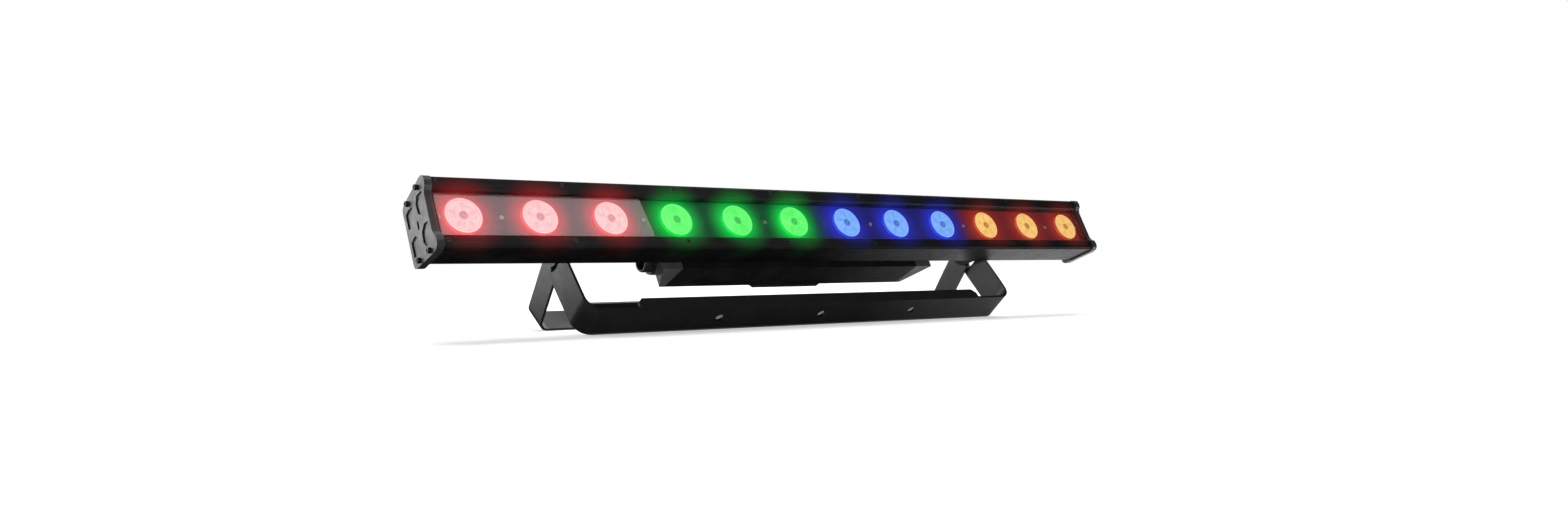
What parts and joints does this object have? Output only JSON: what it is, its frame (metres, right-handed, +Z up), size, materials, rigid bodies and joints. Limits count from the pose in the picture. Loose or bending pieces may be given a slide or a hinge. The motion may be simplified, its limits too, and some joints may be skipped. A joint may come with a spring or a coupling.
{
  "type": "led strip batten",
  "caption": "Slim LED strip batten on a folding double bracket: a tilting bar of lenses behind a clamped glass, with a driver box, control panel and connectors behind.",
  "frame": {"origin": "on the surface it stands on, under the middle of its bounding box", "axes": "+X along the bar towards its right end seen from the front, -Y to the front, which is where the light goes, +Z up"},
  "size_m": [0.9962, 0.161, 0.1625],
  "materials": {
    "coated_aluminium": "satin black powder coat",
    "coated_casting": "textured black powder coat",
    "bracket_coating": "fine textured black powder coat",
    "black_steel": "blackened steel",
    "rubber": "matt",
    "clear_glass": "clear, polished",
    "black_plastic": "fine textured",
    "display_pane": "smoked, polished",
    "board": "solder mask",
    "led_board": "white solder mask on aluminium",
    "lens_red": "polished, lit red",
    "lens_green": "polished, lit green",
    "lens_blue": "polished, lit blue",
    "lens_amber": "polished, lit amber"
  },
  "bodies": {
    "front_yoke": {"front_bracket": "bracket_coating"},
    "rear_yoke": {"rear_bracket": "bracket_coating"},
    "lamp_head": {"breather_vent": "black_plastic", "cap_screw_left_1": "black_steel", "cap_screw_left_2": "black_steel", "cap_screw_left_3": "black_steel", "cap_screw_left_4": "black_steel", "cap_screw_right_1": "black_steel", "cap_screw_right_2": "black_steel", "cap_screw_right_3": "black_steel", "cap_screw_right_4": "black_steel", "clamp_rail_bottom": "coated_aluminium", "clamp_rail_top": "coated_aluminium", "control_board": "board", "control_panel": "black_plastic", "data_input": "black_plastic", "data_output": "black_plastic", "display_window": "display_pane", "driver_board": "board", "driver_cap_left": "coated_casting", "driver_cap_right": "coated_casting", "driver_shell": "coated_aluminium", "end_cap_left": "coated_casting", "end_cap_right": "coated_casting", "end_seal_left": "rubber", "end_seal_right": "rubber", "friction_washer_left_inner": "rubber", "friction_washer_left_outer": "rubber", "friction_washer_right_inner": "rubber", "friction_washer_right_outer": "rubber", "front_glass": "clear_glass", "glass_seal": "rubber", "housing_profile": "coated_aluminium", "led_board": "led_board", "lens_01": "lens_red", "lens_02": "lens_red", "lens_03": "lens_red", "lens_04": "lens_green", "lens_05": "lens_green", "lens_06": "lens_green", "lens_07": "lens_blue", "lens_08": "lens_blue", "lens_09": "lens_blue", "lens_10": "lens_amber", "lens_11": "lens_amber", "lens_12": "lens_amber", "lens_plate": "coated_aluminium", "pivot_bolt_left": "black_steel", "pivot_bolt_right": "black_steel", "pivot_ear_left": "coated_aluminium", "pivot_ear_right": "coated_aluminium", "pivot_nut_left": "black_steel", "pivot_nut_right": "black_steel", "power_inlet": "black_plastic", "power_outlet": "black_plastic", "wire_bush": "rubber"},
    "button_1": {"menu_button_1": "rubber"},
    "button_2": {"menu_button_2": "rubber"},
    "button_3": {"menu_button_3": "rubber"},
    "button_4": {"menu_button_4": "rubber"}
  },
  "joints": [
    {"name": "rear_bracket_fold", "type": "hinge", "parent": "front_yoke", "child": "rear_yoke", "pos_m": [0, 0.0147, 0.08742], "axis": [1, 0, 0], "range_deg": [-77, 0]},
    {"name": "lamp_head_tilt", "type": "hinge", "parent": "front_yoke", "child": "lamp_head", "pos_m": [0, 0.0147, 0.08742], "axis": [1, 0, 0], "range_deg": [-125, 5]},
    {"name": "menu_button_1_press", "type": "slide", "parent": "lamp_head", "child": "button_1", "axis": [0, -0.8829, 0.4695], "range_m": [0, 0.001], "stiffness_N_per_m": 400},
    {"name": "menu_button_2_press", "type": "slide", "parent": "lamp_head", "child": "button_2", "axis": [0, -0.8829, 0.4695], "range_m": [0, 0.001], "stiffness_N_per_m": 400},
    {"name": "menu_button_3_press", "type": "slide", "parent": "lamp_head", "child": "button_3", "axis": [0, -0.8829, 0.4695], "range_m": [0, 0.001], "stiffness_N_per_m": 400},
    {"name": "menu_button_4_press", "type": "slide", "parent": "lamp_head", "child": "button_4", "axis": [0, -0.8829, 0.4695], "range_m": [0, 0.001], "stiffness_N_per_m": 400}
  ]
}
